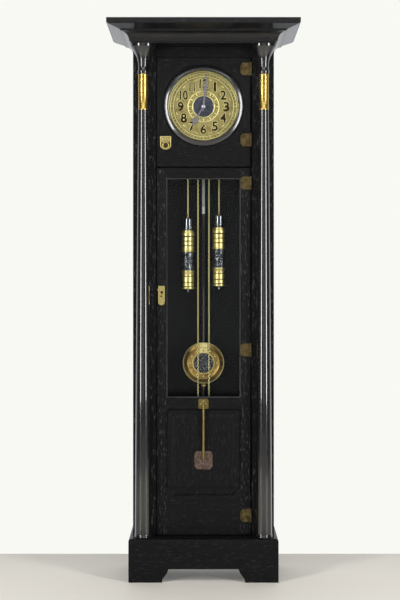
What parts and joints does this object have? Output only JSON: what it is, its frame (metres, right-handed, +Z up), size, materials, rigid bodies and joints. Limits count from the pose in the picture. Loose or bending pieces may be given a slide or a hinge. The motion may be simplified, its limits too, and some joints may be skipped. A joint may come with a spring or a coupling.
{
  "type": "grandfather clock",
  "caption": "Tall ebonised longcase clock with twin columns, round brass dial, glazed trunk door, chain-driven brass weights and a dished pendulum bob.",
  "frame": {"origin": "centre of the footprint box on the floor", "axes": "+Z up, front towards -Y, door hinges on the +X side"},
  "size_m": [0.682, 0.396, 2],
  "materials": {
    "ebonised_oak": "black stained open-grain oak, satin polish",
    "gloss_black": "turned beech, glossy black polish",
    "brass": "polished brass",
    "aged_brass": "aged brass",
    "copper_bronze": "brown patinated copper",
    "steel": "bright steel",
    "blued_steel": "dark blued steel",
    "nickel": "nickelled steel",
    "rod_wood": "dark stained straight-grained wood",
    "glass": "clear glass"
  },
  "bodies": {
    "case": {"plinth_boards": "ebonised_oak", "plinth_top": "ebonised_oak", "case_sides": "ebonised_oak", "back_board": "ebonised_oak", "front_stiles": "ebonised_oak", "case_rails": "ebonised_oak", "cornice": "ebonised_oak", "top_board": "ebonised_oak", "columns": "gloss_black", "column_sleeves": "brass", "capitals": "gloss_black", "seatboard": "ebonised_oak", "gong_block": "ebonised_oak", "gong": "steel", "case_hinge_leaves": "aged_brass", "front_plate": "brass", "back_plate": "brass", "plate_pillars": "steel", "dial": "brass", "suspension_cock": "brass", "going_chain": "brass", "going_chain_tail": "brass", "strike_chain": "brass", "strike_chain_tail": "brass"},
    "hood_door": {"hood_door": "ebonised_oak", "hood_ring": "gloss_black", "hood_glass": "glass", "hood_hinge_leaves": "aged_brass", "hood_pull_plate": "brass"},
    "hood_pull": {"hood_pull": "brass"},
    "trunk_door": {"trunk_door": "ebonised_oak", "trunk_glass": "glass", "glass_beads": "ebonised_oak", "trunk_panel": "ebonised_oak", "door_plaques": "copper_bronze", "ornament_rod": "brass", "trunk_hinge_leaves": "aged_brass", "keyhole_plate": "brass"},
    "trunk_pull": {"trunk_pull": "brass"},
    "minute_arbor": {"minute_hand": "blued_steel", "centre_wheel": "brass", "hand_nut": "steel"},
    "hour_pipe": {"hour_hand": "blued_steel"},
    "minute_wheel": {"minute_wheel": "brass"},
    "going_sprocket": {"going_sprocket": "brass"},
    "going_great_wheel": {"going_great_wheel": "brass"},
    "intermediate_wheel": {"intermediate_wheel": "brass"},
    "third_wheel": {"third_wheel": "brass"},
    "escape_wheel": {"escape_wheel": "brass"},
    "anchor": {"anchor": "steel"},
    "strike_sprocket": {"strike_sprocket": "brass"},
    "strike_great_wheel": {"strike_great_wheel": "brass"},
    "strike_pin_wheel": {"strike_pin_wheel": "brass"},
    "hammer": {"hammer": "steel"},
    "pendulum": {"pendulum_leader": "nickel", "pendulum_rod": "rod_wood", "pendulum_bob": "brass"},
    "rating_nut": {"rating_nut": "brass"},
    "going_weight": {"going_weight": "brass"},
    "strike_weight": {"strike_weight": "brass"}
  },
  "joints": [
    {"name": "hood_door_swing", "type": "hinge", "parent": "case", "child": "hood_door", "pos_m": [0.172, -0.0385, 1.7], "axis": [0, 0, 1], "range_deg": [0, 105]},
    {"name": "trunk_door_swing", "type": "hinge", "parent": "case", "child": "trunk_door", "pos_m": [0.172, -0.0385, 0.8], "axis": [0, 0, 1], "range_deg": [0, 105]},
    {"name": "hood_pull_lift", "type": "hinge", "parent": "hood_door", "child": "hood_pull", "pos_m": [-0.137, -0.041, 1.579], "axis": [-1, 0, 0], "range_deg": [0, 100]},
    {"name": "trunk_pull_lift", "type": "hinge", "parent": "trunk_door", "child": "trunk_pull", "pos_m": [-0.152, -0.04, 1.022], "axis": [-1, 0, 0], "range_deg": [0, 100]},
    {"name": "minute_turn", "type": "hinge", "parent": "case", "child": "minute_arbor", "pos_m": [0, 0.043, 1.712], "axis": [0, 1, 0], "continuous": true},
    {"name": "hour_turn", "type": "hinge", "parent": "case", "child": "hour_pipe", "pos_m": [0, 0.043, 1.712], "axis": [0, 1, 0], "continuous": true},
    {"name": "minute_wheel_turn", "type": "hinge", "parent": "case", "child": "minute_wheel", "pos_m": [0.01663, 0.043, 1.7024], "axis": [0, 1, 0], "continuous": true},
    {"name": "going_great_wheel_turn", "type": "hinge", "parent": "case", "child": "going_great_wheel", "pos_m": [0.0385, 0.043, 1.66], "axis": [0, 1, 0], "continuous": true},
    {"name": "intermediate_wheel_turn", "type": "hinge", "parent": "case", "child": "intermediate_wheel", "pos_m": [0.03158, 0.043, 1.70143], "axis": [0, 1, 0], "continuous": true},
    {"name": "third_wheel_turn", "type": "hinge", "parent": "case", "child": "third_wheel", "pos_m": [-0.02001, 0.043, 1.73012], "axis": [0, 1, 0], "continuous": true},
    {"name": "escape_wheel_turn", "type": "hinge", "parent": "case", "child": "escape_wheel", "pos_m": [0, 0.043, 1.743], "axis": [0, 1, 0], "continuous": true},
    {"name": "anchor_rock", "type": "hinge", "parent": "case", "child": "anchor", "pos_m": [0, 0.043, 1.767], "axis": [0, 1, 0], "range_deg": [-3.2, 3.2]},
    {"name": "strike_great_wheel_turn", "type": "hinge", "parent": "case", "child": "strike_great_wheel", "pos_m": [-0.0385, 0.043, 1.66], "axis": [0, 1, 0], "continuous": true},
    {"name": "strike_pin_wheel_turn", "type": "hinge", "parent": "case", "child": "strike_pin_wheel", "pos_m": [-0.06259, 0.043, 1.6944], "axis": [0, 1, 0], "continuous": true},
    {"name": "hammer_lift", "type": "hinge", "parent": "case", "child": "hammer", "pos_m": [-0.072, 0.043, 1.625], "axis": [0, 1, 0], "range_deg": [0, 12]},
    {"name": "going_sprocket_turn", "type": "hinge", "parent": "case", "child": "going_sprocket", "pos_m": [0.0385, 0.043, 1.66], "axis": [0, 1, 0], "range_deg": [-600, 2700]},
    {"name": "strike_sprocket_turn", "type": "hinge", "parent": "case", "child": "strike_sprocket", "pos_m": [-0.0385, 0.043, 1.66], "axis": [0, 1, 0], "range_deg": [-2700, 600]},
    {"name": "pendulum_swing", "type": "hinge", "parent": "case", "child": "pendulum", "pos_m": [0, 0.088, 1.767], "axis": [0, 1, 0], "range_deg": [-3, 3]},
    {"name": "rating_nut_turn", "type": "hinge", "parent": "pendulum", "child": "rating_nut", "pos_m": [0, 0.088, 0.6895], "axis": [0, 0, 1], "range_deg": [-720, 720]},
    {"name": "going_weight_slide", "type": "slide", "parent": "case", "child": "going_weight", "axis": [0, 0, 1], "range_m": [-0.86, 0.18], "deforming": ["going_chain", "going_chain_tail"]},
    {"name": "strike_weight_slide", "type": "slide", "parent": "case", "child": "strike_weight", "axis": [0, 0, 1], "range_m": [-0.85, 0.19], "deforming": ["strike_chain", "strike_chain_tail"]}
  ],
  "couplings": [
    {"joint": "hour_turn", "follows": "minute_turn", "ratio": 0.083333},
    {"joint": "minute_wheel_turn", "follows": "minute_turn", "ratio": -0.33333},
    {"joint": "intermediate_wheel_turn", "follows": "minute_turn", "ratio": -0.37037},
    {"joint": "going_great_wheel_turn", "follows": "minute_turn", "ratio": 0.05005},
    {"joint": "third_wheel_turn", "follows": "minute_turn", "ratio": -8},
    {"joint": "escape_wheel_turn", "follows": "minute_turn", "ratio": 60},
    {"joint": "anchor_rock", "follows": "pendulum_swing", "ratio": 1},
    {"joint": "strike_pin_wheel_turn", "follows": "strike_great_wheel_turn", "ratio": -7.4},
    {"joint": "going_sprocket_turn", "follows": "going_weight_slide", "rad_per_m": -54.054},
    {"joint": "strike_sprocket_turn", "follows": "strike_weight_slide", "rad_per_m": 54.054}
  ]
}
